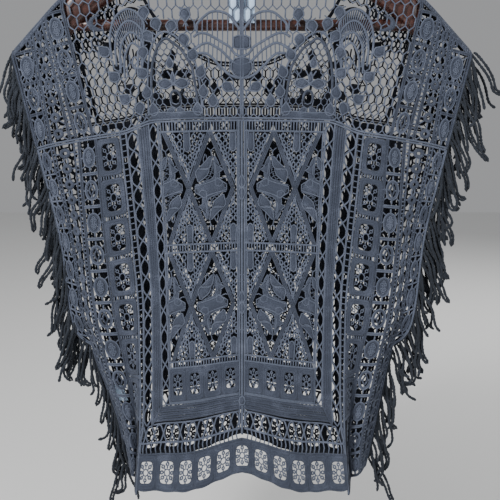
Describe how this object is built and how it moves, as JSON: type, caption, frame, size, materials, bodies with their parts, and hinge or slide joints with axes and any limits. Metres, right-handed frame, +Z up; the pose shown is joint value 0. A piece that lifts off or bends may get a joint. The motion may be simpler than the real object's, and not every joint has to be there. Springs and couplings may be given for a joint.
{
  "type": "crochet poncho top on a hanger",
  "caption": "Open crochet lace poncho top with wide sleeve openings, a squares hem band and fringed edges, hanging on a shaped hanger with a trouser bar.",
  "frame": {"origin": "inside the top of the hanger's hook, where a rail carries it", "axes": "+Z up, +X to the right as seen facing the garment's back, -Y towards that viewer"},
  "size_m": [0.6088, 0.1026, 0.8123],
  "materials": {
    "lace": "matt crocheted cotton yarn, slate blue-grey",
    "fringe": "matt chained cotton yarn, darker slate",
    "label": "plain woven tape, pale blue",
    "hanger": "dark red-brown satin lacquer",
    "hook": "bright steel wire"
  },
  "bodies": {
    "root": {"back_yoke": "lace", "back_body": "lace", "back_hem_band": "lace", "front_yoke": "lace", "front_body": "lace", "front_hem_band": "lace", "back_cuff_fringe_left": "fringe", "back_cuff_fringe_right": "fringe", "front_cuff_fringe_left": "fringe", "front_cuff_fringe_right": "fringe", "side_fringe_left": "fringe", "side_fringe_right": "fringe", "neck_label": "label", "care_label": "label", "hanger_arms": "hanger", "hanger_bar": "hanger", "hanger_hook": "hook"}
  },
  "joints": []
}
